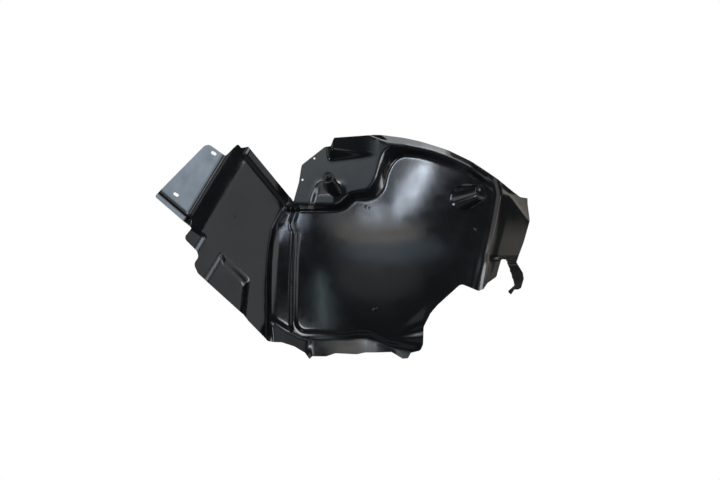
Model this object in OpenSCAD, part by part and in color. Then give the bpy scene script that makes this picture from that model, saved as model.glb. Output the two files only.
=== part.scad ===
// Wheel arch liner: one moulded plastic shell, seen here from its body side.
// The origin is the centre of the end hole of boss 1. X runs along the liner,
// Z is up, and Y runs away from the body side, towards the wheel.

/* [Shell] */
// Length of the whole liner along X
liner_length = 829; // [790:1:870]
// Height of the whole liner along Z
liner_height = 493; // [470:1:516]
// Wall thickness of the moulded sheet
wall_t = 3; // [2:0.25:3.5]
// Depth from the boss tip to the mounting plate
plate_depth = 48; // [40:1:56]
// Slope of the mounting plate, coming forward towards its top
plate_tilt = 0.08; // [0.02:0.01:0.12]
// Depth from the boss tip to the nearest point of the dome
dome_depth = 70; // [66:1:80]
// How far the dome falls back at its left and right ends
dome_side_fall = 35; // [20:1:45]
// How far the dome falls back at its lower edge
dome_low_fall = 40; // [25:1:50]
// How far the dome falls back at its upper edge
dome_top_fall = 12; // [6:1:18]
// Depth of the groove round the dome
groove_depth = 5; // [3:0.5:6]
// Slope of the side face behind the right rib
side_slope = 1.1; // [0.7:0.05:1.3]
// Height of the right rib over the dome
rib_rise = 3; // [1:0.5:5]

/* [Box step] */
// Height of the box step over the plate at its left end
box_rise = 22; // [12:1:28]

/* [Wing] */
// Angle of the folds of the wing from upright
fold_angle = 31.3; // [30:0.1:33]
// Depth of the ridge between the tab and the ramp
ridge_depth = 40; // [30:1:50]
// Depth of the foot of the ramp
foot_depth = 72; // [64:1:80]
// Slope of the flat panel, falling back to the right
panel_slope = 0.42; // [0.36:0.01:0.5]
// Slope of the end tab, falling back to the left
tab_slope = 0.4; // [0.2:0.05:0.6]
// Radius of the bend along the ridge
ridge_r = 12; // [6:1:20]
// Drop of the margin below the panel, left of its first joggle
margin_drop = 7; // [5:0.5:9]
// Rise of the first joggle in the margin
joggle_1 = 7; // [5:0.5:9]
// Rise of the second joggle in the margin
joggle_2 = 6; // [4:0.5:8]
// Slope of the margin right of its second joggle
margin_slope = 0.36; // [0.32:0.01:0.4]
// Height of the lip along the upper edge of the panel
lip_h = 7; // [4:1:10]
// Drop of the hem along the lower edge of the tab
hem_h = 7; // [4:1:10]

/* [Bosses] */
// Radius of boss 1 at its end
boss1_r = 11.5; // [10:0.5:14]
// Radius of boss 1 where it meets the plate
boss1_root_r = 15; // [13.5:0.5:17]
// Length of boss 1 along its axis
boss1_len = 46; // [40:1:52]
// Height of the pad that boss 1 stands on
boss1_pad = 7; // [5:1:10]
// Radius of boss 2 at its end
boss2_r = 18.5; // [16:0.5:20]
// Radius of boss 2 where it meets the dome
boss2_root_r = 26.5; // [24:0.5:28]
// Length of boss 2 along its axis
boss2_len = 36; // [32:1:42]
// Radius of the screw hole in both bosses
screw_r = 3.2; // [2:0.1:4]
// Depth of the screw hole in both bosses
screw_len = 12; // [8:1:16]

/* [Holes] */
// Radius of the two clip holes in the plate
clip_r = 2.1; // [1.8:0.1:3]
// Length of the two slots in the end tab
slot_len = 13; // [11:0.5:16]
// Width of the two slots in the end tab
slot_w = 6.5; // [5.5:0.5:8]

/* [Hidden] */
plastic = [0.09, 0.095, 0.1];
sheet_end = 456;
cut_y = [-20, 330];
drawn_length = 829;
drawn_height = 493;
scale_x = liner_length / drawn_length;
scale_z = liner_height / drawn_height;

// Outline of the whole shell, anticlockwise from the left corner of the tab: x, z, corner radius
outline = [
  [-381, -36, 6], [-380, -40, 3], [-300, -107, 3], [-318, -129, 5], [-289, -159, 5], [-286, -171, 6],
  [-297, -186, 8], [-288, -207, 12], [-190, -299, 10], [-179, -314, 10], [-137, -359, 4],
  [-105, -360, 20], [-77, -369, 30], [-53, -383, 8], [-43, -397, 1], [-37, -391, 2], [-6, -391, 14],
  [14, -384, 14], [62, -386, 8], [80, -382, 6], [105, -382, 20], [138, -381, 3], [163, -396, 3],
  [175, -395, 4], [181, -383, 2], [202, -378, 8], [208, -365, 14], [209, -325, 12], [224, -295, 6],
  [239, -277, 14], [291, -230, 12], [330, -246, 5], [341, -242, 5], [350, -229, 4], [371, -215, 5],
  [382, -176, 5], [394, -177, 5], [402, -198, 10], [413, -234, 2], [397, -247, 1], [404, -255, 1],
  [412, -244, 2], [421, -244, 4], [428, -241, 4], [435, -220, 6], [433, -207, 6], [418, -183, 2],
  [435, -138, 30], [449, -90, 14], [444, -52, 8], [444, -40, 1], [427, -38, 6], [413, -29, 30],
  [371, 2, 150], [315, 39, 150], [259, 65, 150], [203, 82, 120], [166, 90, 120], [109, 97, 80],
  [12, 89, 4], [5, 71, 2], [-8, 70, 8], [-59, 30, 12], [-65, -8, 20], [-77, -50, 1], [-176, 71, 3],
  [-191, 68, 2], [-198, 76, 3], [-225, 50, 4], [-266, 79, 14]
];

// Upright lines of the arch, as z and x
valley_line = [[-370, -141], [-188, -138], [-145, -134], [-107, -126], [-76, -109], [-54, -82], [90, -78]];
ridge_line = [[-370, -131], [-254, -130], [-185, -127], [-138, -122], [-99, -113], [-66, -98], [-54, -77],
  [90, -75]];
groove_line = [[-370, -77], [-276, -77], [-184, -75], [-117, -71], [-109, -76], [-94, -79], [-61, -67],
  [-54, -62], [90, -60]];
rib_line = [[-250, 320], [-240, 322], [-174, 340], [-132, 351], [-88, 361], [-48, 368], [-28, 372],
  [-14, 366], [0, 358]];
rib_width = [[-250, 22], [-240, 21], [-190, 10], [-174, 9], [0, 8]];

// Cross lines of the arch, as x and z
bottom_line = [[-150, -368], [-105, -366], [-70, -378], [-37, -403], [0, -394], [140, -390], [165, -402],
  [190, -392], [203, -386], [212, -345], [226, -303], [242, -284], [270, -260], [291, -240], [330, -254],
  [350, -250], [380, -256], [400, -262], [425, -255], [440, -230], [456, -210]];
crease_line = [[-150, -313], [-130, -313], [-110, -322], [-90, -343], [-60, -355], [-37, -350],
  [-9, -350], [36, -355], [62, -347], [82, -346], [105, -357], [130, -370], [147, -376], [180, -376]];
edge_line = [[-150, -300], [-90, -330], [-60, -334], [-20, -334], [36, -340], [62, -335], [90, -336],
  [130, -358], [180, -366]];
wall_foot_line = [[-90, -69], [20, -69], [38, -64], [58, -44], [82, -46], [102, -42], [114, -32],
  [120, -23], [126, 7], [136, 30], [148, 45], [165, 52], [196, 50], [221, 44], [246, 35], [287, 23],
  [329, 3], [357, -10], [371, -19], [388, -30], [456, -76]];
wall_top_line = [[-90, -57], [16, -57], [27, -53], [48, -31], [60, -29], [86, -24], [95, -13], [105, 7],
  [115, 47], [123, 63], [138, 72], [158, 71], [196, 65], [231, 58], [258, 48], [287, 36], [329, 14],
  [357, -4], [371, -15], [388, -26], [456, -72]];
top_line = [[-90, 92], [0, 96], [109, 101], [166, 95], [203, 87], [259, 70], [315, 44], [371, 7],
  [413, -24], [427, -32], [456, -34]];
plate_fall = [[-90, -2], [0, 0], [110, 4], [166, 10], [267, 24], [330, 40], [371, 54], [388, 62],
  [456, 130]];

// Nominal places of the columns between the groove and the rib
column_x = [-50, -37, -23, -17, -6, 1, 4, 16, 28, 40, 52, 64, 76, 86, 94, 99, 104, 109, 114, 119, 125,
  132, 142, 154, 166, 178, 190, 202, 209, 216, 226, 238, 250, 262, 274, 286, 298, 310, 322, 334, 346];
dome_rows = 15;
plate_rows = 6;
dome_cx = 135;
dome_cz = -100;
dome_hw = 242;
dome_up = 165;
dome_down = 265;
groove_w = 10;
corner_r = 22;
box_x = [3, 105];
box_low = [41, 51.5];
box_high = [63, 53];
crest_w = 10;
crest_drop = 1.5;
flange_slope = 0.35;
flange_fold = -37;
bump_x = 75;
bump_slope = 0.2;
pleat_root = [130, -353];
pleat_end = 230;
pleat_line = [[-28, 0], [-16, -4], [-6, 3], [4, -5], [14, 3], [26, -3], [42, 0]];
facet_at = [385, -13];
facet_slope = 0.5;
facet_turn = 52;
side_step = 5;
side_step_z = -172;
leg_at = [386, -186];
leg_slope = 0.5;
roll_w = 22;
roll_slope = 0.55;
roll_x = [284, 430];
pad_x = [-23, 40];
pad_lean = 0.3;
pad_top = -4;
pad_run = 30;
boss1_tail = 30;
boss2_tail = 50;
boss1_tilt = [23, -13];
boss1_foot = [12, -22];
boss2_end = [334, 64, -29];
boss2_yaw = 48;
boss2_tilt = 12;
boss2_foot = [308, -36];
clip_at = [[-57, -2], [-31, 44.5]];
slot_at = [[-251, 56], [-334, -34]];
slot_turn = 30;
tab_end = -316;
ridge_s = -217.5;
foot_s = -180;
foot_r = 8;
panel_end = 80;
joggle_s = [-168, -116];
joggle_run = 8;
step_run = 4;
margin_wall = 26;
margin_end = -46;
// Lower margin and upper lip of the wing, as s and e
margin_edge = [[-330, -212], [-304, -216], [-214, -229], [-205, -246], [-167, -248], [-113, -263],
  [-37, -280], [-3, -353], [10, -420], [90, -440]];
lip_edge = [[-330, -20], [-230, -40], [-190, -52], [-42, -104], [90, -150]];

// Arithmetic
function clamp(q) = min(1, max(0, q));
function unit(v) = v / norm(v);
function mix(a, b, q) = a + (b - a) * q;

// Points of a corner rounded by an arc
function arc_corner(a, b, c, r) =
  let (u = unit(a - b), v = unit(c - b), half = acos(min(1, max(-1, u * v))) / 2,
       reach = min(r / tan(half), 0.45 * norm(a - b), 0.45 * norm(c - b)), rr = reach * tan(half),
       centre = b + unit(u + v) * rr / sin(half), n = max(1, round((180 - 2 * half) / 18)))
  half > 88 ? [b]
  : [for (i = [0 : n]) let (p = mix(b + u * reach, b + v * reach, i / n)) centre + unit(p - centre) * rr];

// Rounded polygon from a list of x, z and corner radius
function rounded(pts) =
  let (n = len(pts), at = [for (p = pts) [p[0], p[1]]])
  [for (i = [0 : n - 1]) each arc_corner(at[(i + n - 1) % n], at[i], at[(i + 1) % n], pts[i][2])];

// Depth of the dome alone
function dome_y(x, z) =
  let (h = (x - dome_cx) / dome_hw, up = (z - dome_cz) / dome_up, down = (dome_cz - z) / dome_down)
  dome_depth + dome_side_fall * h * h + (z > dome_cz ? dome_top_fall * up * up : dome_low_fall * down * down);

// Depth of the flat panel of the wing, carried on under the arch
function fold_s(x, z) = x * cos(fold_angle) - z * sin(fold_angle);
function panel_y(x, z) = foot_depth + panel_slope * (fold_s(x, z) - foot_s);

// How far a point lies inside the dome's left and lower edge, with a round corner
function inside(x, z) =
  let (a = x - lookup(z, groove_line) - groove_w / 2, b = z - lookup(x, edge_line))
  a < corner_r && b < corner_r ? corner_r - norm([corner_r - a, corner_r - b]) : min(a, b);

// Dome with its groove, side strip, ridge and flank
function body_y(x, z) =
  let (ridge = lookup(z, ridge_line), valley = lookup(z, valley_line), d = inside(x, z),
       strip = lookup(z, groove_line) - groove_w / 2 - x,
       edge = dome_y(ridge, z) + crest_drop)
  x < ridge ? mix(edge, panel_y(valley, z), (ridge - x) / (ridge - valley))
  : dome_y(x, z) + groove_depth * clamp(-d / 4) - groove_depth * clamp(strip / 4)
    + crest_drop * clamp((ridge + crest_w - x) / crest_w);

// Flange along the lower edge, with its fold and its bump
function flange_y(x, z) =
  let (crease = lookup(x, crease_line), drop = max(0, crease - z),
       live = clamp((x - lookup(z, ridge_line)) / 6),
       fold = flange_slope * clamp((flange_fold - x) / 22), bump = bump_slope * clamp(1 - abs(x - bump_x) / 35))
  -live * drop * (flange_slope + fold + bump);

// Pleats pressed into the lower right corner
function pleat_y(x, z) =
  let (a = atan2(z - pleat_root[1], x - pleat_root[0]),
       grow = clamp((x - pleat_root[0] - 5) / 55) * clamp((pleat_end - x) / 20))
  x > pleat_root[0] ? grow * lookup(a, pleat_line) : 0;

// Right rib and the side face behind it
function side_y(x, z) =
  let (left = lookup(z, rib_line), right = left + lookup(z, rib_width), past = max(0, x - right),
       above = max(0, (z - facet_at[1]) * cos(facet_turn) + (x - facet_at[0]) * sin(facet_turn)))
  x < left - 4 ? 0
  : -rib_rise * clamp((x - left + 4) / 4) + side_slope * past + (past > 6 ? facet_slope * above : 0)
    - side_step * clamp((side_step_z - z) / 4) * clamp(past / 6)
    - leg_slope * max(0, leg_at[1] - z) * clamp((x - leg_at[0]) / 8);

// Plate, top band and box step
function plate_y(x, z) =
  let (q = clamp((x - box_x[0]) / (box_x[1] - box_x[0])), low = mix(box_low[0], box_low[1], q),
       high = mix(box_high[0], box_high[1], q), rise = box_rise * pow(1 - q, 1.5) * clamp((x - 1) / 3),
       pad = boss1_pad * clamp((x - pad_x[0] - pad_lean * z) / 6) * clamp((pad_x[1] - x) / pad_run)
             * clamp((pad_top - z) / pad_run),
       roll = max(0, z - lookup(x, top_line) + roll_w) * clamp((x - roll_x[0] + 2 * z) / 16)
              * clamp((roll_x[1] - x) / 40))
  plate_depth + lookup(x, plate_fall) - plate_tilt * z - rise * clamp((z - low) / (high - low)) - pad
    + roll_slope * roll;

// Depth of the body-side face of the arch
function arch_y(x, z) =
  let (foot = lookup(x, wall_foot_line), top = lookup(x, wall_top_line), q = clamp((z - foot) / (top - foot)),
       low = min(z, foot), past = lookup(z, rib_line) + 30,
       body = body_y(min(x, past), low) + flange_y(x, z) + pleat_y(x, z) + side_y(x, low))
  mix(body, min(plate_y(x, z), body), q);

// Grid of the arch: columns follow the upright lines, rows follow the cross lines
function row_z(x) =
  let (bottom = lookup(x, bottom_line), crease = max(bottom + 5, lookup(x, crease_line)),
       edge = max(crease + 5, lookup(x, edge_line)), foot = lookup(x, wall_foot_line),
       top = lookup(x, wall_top_line), last = lookup(x, top_line),
       q = clamp((x - box_x[0]) / (box_x[1] - box_x[0])),
       low = x > box_x[1] ? mix(top, last, 0.35) : mix(box_low[0], box_low[1], q),
       high = x > box_x[1] ? mix(top, last, 0.5) : mix(box_high[0], box_high[1], q))
  concat(
    [bottom, mix(bottom, crease, 0.5), crease, mix(crease, edge, 0.5), edge, edge + 5],
    [for (i = [1 : dome_rows - 1]) mix(edge + 5, foot - 6, i / dome_rows)],
    [foot - 6, foot, mix(foot, top, 0.5), top],
    [for (i = [1 : plate_rows - 1]) mix(top, low, i / plate_rows)],
    [low, high, mix(high, last, 0.4), mix(high, last, 0.7), last]
  );
row_n = len(row_z(0));
function column(i, z) =
  let (valley = lookup(z, valley_line), ridge = lookup(z, ridge_line), groove = lookup(z, groove_line),
       rib = lookup(z, rib_line), right = rib + lookup(z, rib_width), k = i - 7 - len(column_x),
       left = [valley - 1.5, ridge, min(ridge + crest_w, mix(ridge, groove, 0.3)), groove - groove_w / 2 - 4,
               groove - groove_w / 2, groove + groove_w / 2 - 4, groove + groove_w / 2])
  i < 7 ? max(left[i], valley - 1.5 + i * 1.5)
  : k < 0 ? column_x[i - 7] + (rib - 366) * clamp((column_x[i - 7] - 209) / 157)
    + pad_lean * min(0, z) * clamp((z + 110) / 45) * clamp(1.15 - abs(column_x[i - 7] - pad_x[0] - 3) / 25)
  : k == 0 ? rib - 4
  : k == 1 ? rib
  : k == 2 ? right
  : mix(right, sheet_end, (k - 2) / 8);
column_n = 7 + len(column_x) + 11;
function grid_point(i, j) =
  let (x0 = column(i, -150), z0 = row_z(x0)[j], x1 = column(i, z0), z1 = row_z(x1)[j],
       x2 = column(i, z1), z2 = row_z(x2)[j])
  placed([x2, arch_y(x2, z2), z2]);

// Place of a drawn point on a liner of the length and height asked for
function placed(p) = [p[0] * scale_x, p[1], p[2] * scale_z];

// Closed sheet of even thickness from a grid of points on its front
function sheet_back(g, t) =
  let (ni = len(g), nj = len(g[0]))
  [for (i = [0 : ni - 1]) for (j = [0 : nj - 1])
    let (du = g[min(ni - 1, i + 1)][j] - g[max(0, i - 1)][j],
         dv = g[i][min(nj - 1, j + 1)] - g[i][max(0, j - 1)])
    g[i][j] + t * unit(cross(dv, du))];
function sheet_faces(ni, nj) =
  let (b = ni * nj)
  concat(
    [for (i = [0 : ni - 2]) for (j = [0 : nj - 2]) let (a = i * nj + j)
      each [[a, a + 1, a + nj], [a + nj, a + 1, a + nj + 1],
            [b + a, b + a + nj, b + a + 1], [b + a + nj, b + a + nj + 1, b + a + 1]]],
    [for (i = [0 : ni - 2]) let (a = i * nj, c = a + nj - 1)
      each [[a, a + nj, b + a], [a + nj, b + a + nj, b + a],
            [c, b + c, c + nj], [c + nj, b + c, b + c + nj]]],
    [for (j = [0 : nj - 2]) let (a = j, c = (ni - 1) * nj + j)
      each [[a, b + a, a + 1], [a + 1, b + a, b + a + 1],
            [c, c + 1, b + c], [c + 1, b + c + 1, b + c]]]
  );

module arch_sheet() {
  grid = [for (i = [0 : column_n - 1]) [for (j = [0 : row_n - 1]) grid_point(i, j)]];
  front = [for (c = grid) each c];
  polyhedron(points = concat(front, sheet_back(grid, wall_t)), faces = sheet_faces(column_n, row_n));
}

// Prism along Y over a plan given in x and z
module prism(pts) {
  translate([0, cut_y[1], 0]) rotate([90, 0, 0]) linear_extrude(cut_y[1] - cut_y[0])
    polygon([for (p = pts) [p[0] * scale_x, p[1] * scale_z]]);
}

// Wing: rows run across its folds and columns along them, at a place s across and e along
function fold_xz(s, e) =
  [s * cos(fold_angle) + e * sin(fold_angle), e * cos(fold_angle) - s * sin(fold_angle)];
function wing_line() =
  let (pts = [[tab_end, ridge_depth + tab_slope * (ridge_s - tab_end)], [ridge_s, ridge_depth], [foot_s, foot_depth],
       [panel_end, foot_depth + panel_slope * (panel_end - foot_s)]])
  concat([pts[0]], arc_corner(pts[0], pts[1], pts[2], ridge_r), arc_corner(pts[1], pts[2], pts[3], foot_r),
         [pts[3]]);
function margin_y(s) =
  s < ridge_s - 2 ? lookup(s, wing_line()) + hem_h
  : foot_depth + margin_drop + panel_slope * (s - foot_s)
    - joggle_1 * clamp((s - joggle_s[0] + joggle_run / 2) / joggle_run)
    - joggle_2 * clamp((s - joggle_s[1] + joggle_run / 2) / joggle_run)
    - (panel_slope - margin_slope) * max(0, s - joggle_s[1]);
function margin_run(s) = mix(step_run, margin_wall, clamp((s - margin_end) / 12));
function wing_y(s, e) =
  mix(lookup(s, wing_line()), margin_y(s), clamp((lookup(s, margin_edge) - e) / margin_run(s)))
  - lip_h * clamp((e - lookup(s, lip_edge)) / step_run) * clamp((s - foot_s + 6) / 4);
function wing_rows(s) =
  let (m = lookup(s, margin_edge), l = lookup(s, lip_edge))
  [-460, m - 40, m - margin_run(s), m, mix(m, l, 0.33), mix(m, l, 0.67), l, l + step_run, 60];
function wing_point(s, j) =
  let (e = wing_rows(s)[j], at = fold_xz(s, e))
  placed([at[0], wing_y(s, e), at[1]]);
function joggle_columns(at) = [at - joggle_run / 2, at + joggle_run / 2];
wing_s = concat([for (p = wing_line()) if (p[0] < foot_s + 10) p[0]], joggle_columns(joggle_s[0]), [-150, -135],
  joggle_columns(joggle_s[1]), [-90, -70, -52, -46, -40, -34, -27, -20, -10, 0, 20, 50, panel_end]);

module wing_sheet() {
  grid = [for (s = wing_s) [for (j = [0 : 8]) wing_point(s, j)]];
  front = [for (c = grid) each c];
  polyhedron(points = concat(front, sheet_back(grid, wall_t)), faces = sheet_faces(len(grid), 9));
}

// Left of the valley, where the wing ends
valley_side = [for (p = valley_line) if (p[0] <= -54) [p[1] + 1.5, p[0]]];
wing_plan = concat([[-420, -420], [-139.5, -420]], valley_side, [[-74, -47], [-100, 110], [-420, 110]]);

module wing() {
  intersection() {
    prism(wing_plan);
    wing_sheet();
  }
}

// Hollow tapered boss, its end at the origin and its root down the Z axis, with a tail to trim at the shell
function tail_r(r_end, r_root, len_b, tail) = r_root + (r_root - r_end) * tail / len_b;
module boss(r_end, r_root, len_b, tail) {
  rotate([180, 0, 0]) cylinder(h = len_b + tail, r1 = r_end, r2 = tail_r(r_end, r_root, len_b, tail), $fn = 48);
}
module boss_core(r_end, r_root, len_b, tail) {
  rotate([180, 0, 0]) translate([0, 0, screw_len])
    cylinder(h = len_b + tail, r1 = r_end - wall_t, r2 = tail_r(r_end, r_root, len_b, tail) - wall_t, $fn = 48);
  rotate([180, 0, 0]) translate([0, 0, -1]) cylinder(h = screw_len + 2, r = screw_r, $fn = 48);
}
module at_boss1() {
  rotate([90 - boss1_tilt[0], 0, boss1_tilt[1]]) children();
}
module at_boss2() {
  translate(placed(boss2_end)) rotate([0, 0, boss2_yaw]) rotate([90 - boss2_tilt, 0, 0]) children();
}

// Half space in front of the shell round a point, to trim the root of a boss
module front_of(x, z) {
  gx = (arch_y(x + 6, z) - arch_y(x - 6, z)) / 12 / scale_x;
  gz = (arch_y(x, z + 6) - arch_y(x, z - 6)) / 12 / scale_z;
  translate(placed([x, arch_y(x, z) + wall_t / 2, z])) rotate([-atan(gz), 0, atan(gx)])
    translate([-60, -100, -60]) cube([120, 100, 120]);
}

module slot_cut(at) {
  translate(placed([at[0], cut_y[0], at[1]])) rotate([0, slot_turn, 0]) rotate([-90, 0, 0])
    linear_extrude(cut_y[1]) {
      square([slot_len - slot_w, slot_w], center = true);
      for (side = [-1, 1]) translate([side * (slot_len - slot_w) / 2, 0]) circle(d = slot_w, $fn = 32);
    }
}

module liner() {
  color(plastic)
  difference() {
    union() {
      // The moulded sheet is one mesh, so it is kept apart from the exact bosses
      resize([0, 0, 0]) intersection() {
        prism(rounded(outline));
        union() {
          arch_sheet();
          wing();
        }
      }
      intersection() {
        at_boss1() boss(boss1_r, boss1_root_r, boss1_len, boss1_tail);
        front_of(boss1_foot[0], boss1_foot[1]);
      }
      intersection() {
        at_boss2() boss(boss2_r, boss2_root_r, boss2_len, boss2_tail);
        front_of(boss2_foot[0], boss2_foot[1]);
      }
    }
    at_boss1() boss_core(boss1_r, boss1_root_r, boss1_len, boss1_tail);
    at_boss2() boss_core(boss2_r, boss2_root_r, boss2_len, boss2_tail);
    for (at = clip_at) translate(placed([at[0], cut_y[0], at[1]])) rotate([-90, 0, 0])
      cylinder(h = cut_y[1] - cut_y[0], r = clip_r, $fn = 32);
    for (at = slot_at) slot_cut(at);
  }
}

liner();
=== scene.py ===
"""Wheel arch liner: one moulded shell of gloss black plastic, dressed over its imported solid."""
import math

import bpy
import numpy as np
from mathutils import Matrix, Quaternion, Vector
from mathutils.geometry import delaunay_2d_cdt

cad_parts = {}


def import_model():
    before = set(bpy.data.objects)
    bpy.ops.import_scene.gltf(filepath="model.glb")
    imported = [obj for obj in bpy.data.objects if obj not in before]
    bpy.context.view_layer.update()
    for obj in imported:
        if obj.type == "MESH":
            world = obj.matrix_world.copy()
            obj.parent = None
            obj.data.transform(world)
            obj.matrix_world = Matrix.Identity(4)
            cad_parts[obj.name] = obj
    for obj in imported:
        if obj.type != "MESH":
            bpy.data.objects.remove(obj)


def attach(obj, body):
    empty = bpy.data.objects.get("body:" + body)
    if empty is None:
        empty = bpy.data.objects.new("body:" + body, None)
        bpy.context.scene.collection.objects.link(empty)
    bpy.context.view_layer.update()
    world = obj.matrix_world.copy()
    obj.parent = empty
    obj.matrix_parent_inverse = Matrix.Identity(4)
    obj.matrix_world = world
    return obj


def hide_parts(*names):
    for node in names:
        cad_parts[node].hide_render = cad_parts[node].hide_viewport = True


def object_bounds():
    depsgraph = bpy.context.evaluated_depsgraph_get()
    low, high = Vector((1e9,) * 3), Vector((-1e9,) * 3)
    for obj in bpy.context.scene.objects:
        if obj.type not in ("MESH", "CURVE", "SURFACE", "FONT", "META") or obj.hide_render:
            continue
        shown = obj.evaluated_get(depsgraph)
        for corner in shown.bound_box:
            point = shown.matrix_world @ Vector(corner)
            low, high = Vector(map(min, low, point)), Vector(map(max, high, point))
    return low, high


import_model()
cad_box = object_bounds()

MM = 0.001

# Sizes in millimetres and degrees. Most are those of the part's source, and the folds are rounder here.
# A FADE is a place and the run over which something comes or goes there.

# Plate, dome and groove. The dome goes on past the rib by its reach.
WALL = 3.0
PLATE_DEPTH = 48.0
PLATE_TILT = 0.08
DOME_DEPTH = 70.0
DOME_SIDE_FALL = 35.0
DOME_LOW_FALL = 40.0
DOME_TOP_FALL = 12.0
DOME_CENTRE = (135.0, -100.0)
DOME_HALF_WIDTH = 242.0
DOME_UP = 165.0
DOME_DOWN = 265.0
GROOVE_DEPTH = 5.0
GROOVE_WIDTH = 10.0
GROOVE_WALL = 4.0
GROOVE_END_RUN = 15.0
CORNER_R = 22.0
DOME_REACH = 30.0
KNEE_FADE = (372.0, 25.0)
KNEE_SOFT = 14.0

# Crest left of the groove, and the cap where its upper end falls away to the left
CREST_WIDTH = 14.0
CREST_DROP = 2.2
CAP_SLOPE = 0.13
CAP_X = -86.0
CAP_FADE = (-106.0, 5.0)

# Lower flange and pleats
FLANGE_START = 6.0
FLANGE_BEND = 2.0
FLANGE_SLOPE = 0.35
FLANGE_STEEPER = 0.35
FLANGE_FADE = (-37.0, 18.0)
PLEAT_ROOT = (130.0, -353.0)
PLEAT_LEFT_FADE = (135.0, 55.0)
PLEAT_RIGHT_FADE = (230.0, 20.0)

# Right rib and side face. The rib's upper corner starts a share of its radius before the rib.
RIB_RISE = 3.0
RIB_RUN = 4.0
RIB_CORNER = 24.0
RIB_CORNER_SHARE = 2.6
RIB_CORNER_Z = -60.0
OFF_RIB = -9.0
SIDE_SLOPE = 1.1
SIDE_START = 6.0
FACET_AT = (385.0, -13.0)
FACET_WAY = (0.788, 0.616)
FACET_SLOPE = 0.5
SIDE_STEP = 5.0
SIDE_STEP_FADE = (-172.0, 4.0)
LEG_SLOPE = 0.5
LEG_TOP = -186.0
LEG_FADE = (386.0, 8.0)

# Box step, pad and rolled edge of the plate
BOX_RISE = 22.0
BOX_POWER = 1.5
BOX_X = (3.0, 105.0)
BOX_LOW = (41.0, 51.5)
BOX_HIGH = (63.0, 53.0)
BOX_FADE = (1.0, 3.0)
BOSS1_PAD = 7.0
PAD_X = -26.0
PAD_LEAN = 0.3
PAD_RUN = 12.0
PAD_RIGHT_FADE = (40.0, 30.0)
PAD_TOP_FADE = (-4.0, 30.0)
ROLL_WIDTH = 22.0
ROLL_SLOPE = 0.55
ROLL_X = 284.0
ROLL_LEAN = 2.0
ROLL_RUN = 16.0
ROLL_RIGHT_FADE = (430.0, 40.0)

# Wing: s runs across its folds and e along them
FOLD = math.radians(31.3)
RIDGE_S = -217.5
FOOT_S = -180.0
TAB_END = -316.0
PANEL_END = 80.0
RIDGE_DEPTH = 40.0
FOOT_DEPTH = 72.0
RIDGE_R = 12.0
FOOT_R = 8.0
PANEL_SLOPE = 0.42
TAB_SLOPE = 0.4
JOGGLE_S = (-168.0, -116.0)
JOGGLE_RISE = (7.5, 6.6)
JOGGLE_RUN = 9.2
MARGIN_DROP = 7.0
MARGIN_SLOPE = 0.4
HEM_H = 7.0
HEM_GAP = 2.0
LIP_H = 7.0
LIP_LEAD = 6.0
LIP_LEAD_RUN = 4.0

# Run of the margin's step: at the tab, past the foot, past the joggles and at the margin's end
STEP_RUN = 4.0
SOFT_STEP = 5.0
CREASE_RUN = 15.0
MARGIN_WALL = 26.0
SOFT_FADE = (FOOT_S, 20.0)
CREASE_FADE = (JOGGLE_S[1], 14.0)
MARGIN_END_FADE = (-46.0, 12.0)

# Bosses: radii at the end and at the root, tilts as rise and turn
BOSS1_TILT = (23.0, -13.0)
BOSS1_R = (11.5, 15.0)
BOSS1_LEN = 46.0
BOSS1_TAIL = 30.0
BOSS2_END = (334.0, 64.0, -29.0)
BOSS2_TILT = (12.0, 48.0)
BOSS2_R = (18.5, 26.5)
BOSS2_LEN = 36.0
BOSS2_TAIL = 50.0
BOSS_EDGE_R = 1.2
BOSS_EDGE_STEPS = 4
BOSS_SIDES = 72
BOSS_STATIONS = 400
SIDE_ROWS = 14
FIRST_ROW = 0.06
FLARE_RISE = 1.6
FLARE_RUN = 2.0
CORE_CHAMFER = 1.5
SCREW_R = 3.2
SCREW_LEN = 12.0
SCREW_MOUTH = 0.5
MOUTH_ROUND = 0.15
FACE_GAP = 0.4

# Holes
CLIP_R = 2.1
CLIP_SIDES = 24
CLIP_AT = ((-57.0, -2.0), (-31.0, 44.5))
SLOT_AT = ((-251.0, 56.0), (-334.0, -34.0))
SLOT_SIZE = (13.0, 6.5)
SLOT_TURN = 30.0

# Outline of the shell, anticlockwise: x, z, corner radius
OUTLINE = [
    (-381, -36, 6), (-380, -40, 3), (-300, -107, 3), (-318, -129, 10), (-289, -159, 8),
    (-286, -171, 12), (-297, -186, 14), (-288, -207, 20), (-190, -299, 10), (-179, -314, 10),
    (-137, -359, 4), (-105, -360, 20), (-77, -369, 30), (-53, -383, 8), (-43, -397, 1),
    (-37, -391, 2), (-6, -391, 14), (14, -384, 14), (62, -386, 8), (80, -382, 6), (105, -382, 20),
    (138, -381, 3), (163, -396, 3), (175, -395, 4), (181, -383, 2), (202, -378, 8), (208, -365, 14),
    (209, -325, 12), (224, -295, 6), (239, -277, 14), (291, -230, 12), (330, -246, 5),
    (341, -242, 5), (350, -229, 4), (371, -215, 5), (382, -176, 5), (394, -177, 5), (402, -198, 10),
    (413, -234, 2), (397, -247, 1), (404, -255, 1), (412, -244, 2), (421, -244, 4), (428, -241, 4),
    (435, -220, 6), (433, -207, 6), (418, -183, 2), (435, -138, 30), (449, -90, 14), (444, -52, 8),
    (444, -40, 1), (427, -38, 6), (413, -29, 30), (371, 2, 150), (315, 39, 150), (259, 65, 150),
    (203, 82, 120), (166, 90, 120), (109, 97, 80), (12, 89, 4), (5, 71, 2), (-8, 70, 8),
    (-59, 30, 12), (-65, -8, 20), (-77, -50, 1), (-176, 71, 3), (-191, 68, 2), (-198, 76, 3),
    (-225, 50, 4), (-266, 79, 14),
]

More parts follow.
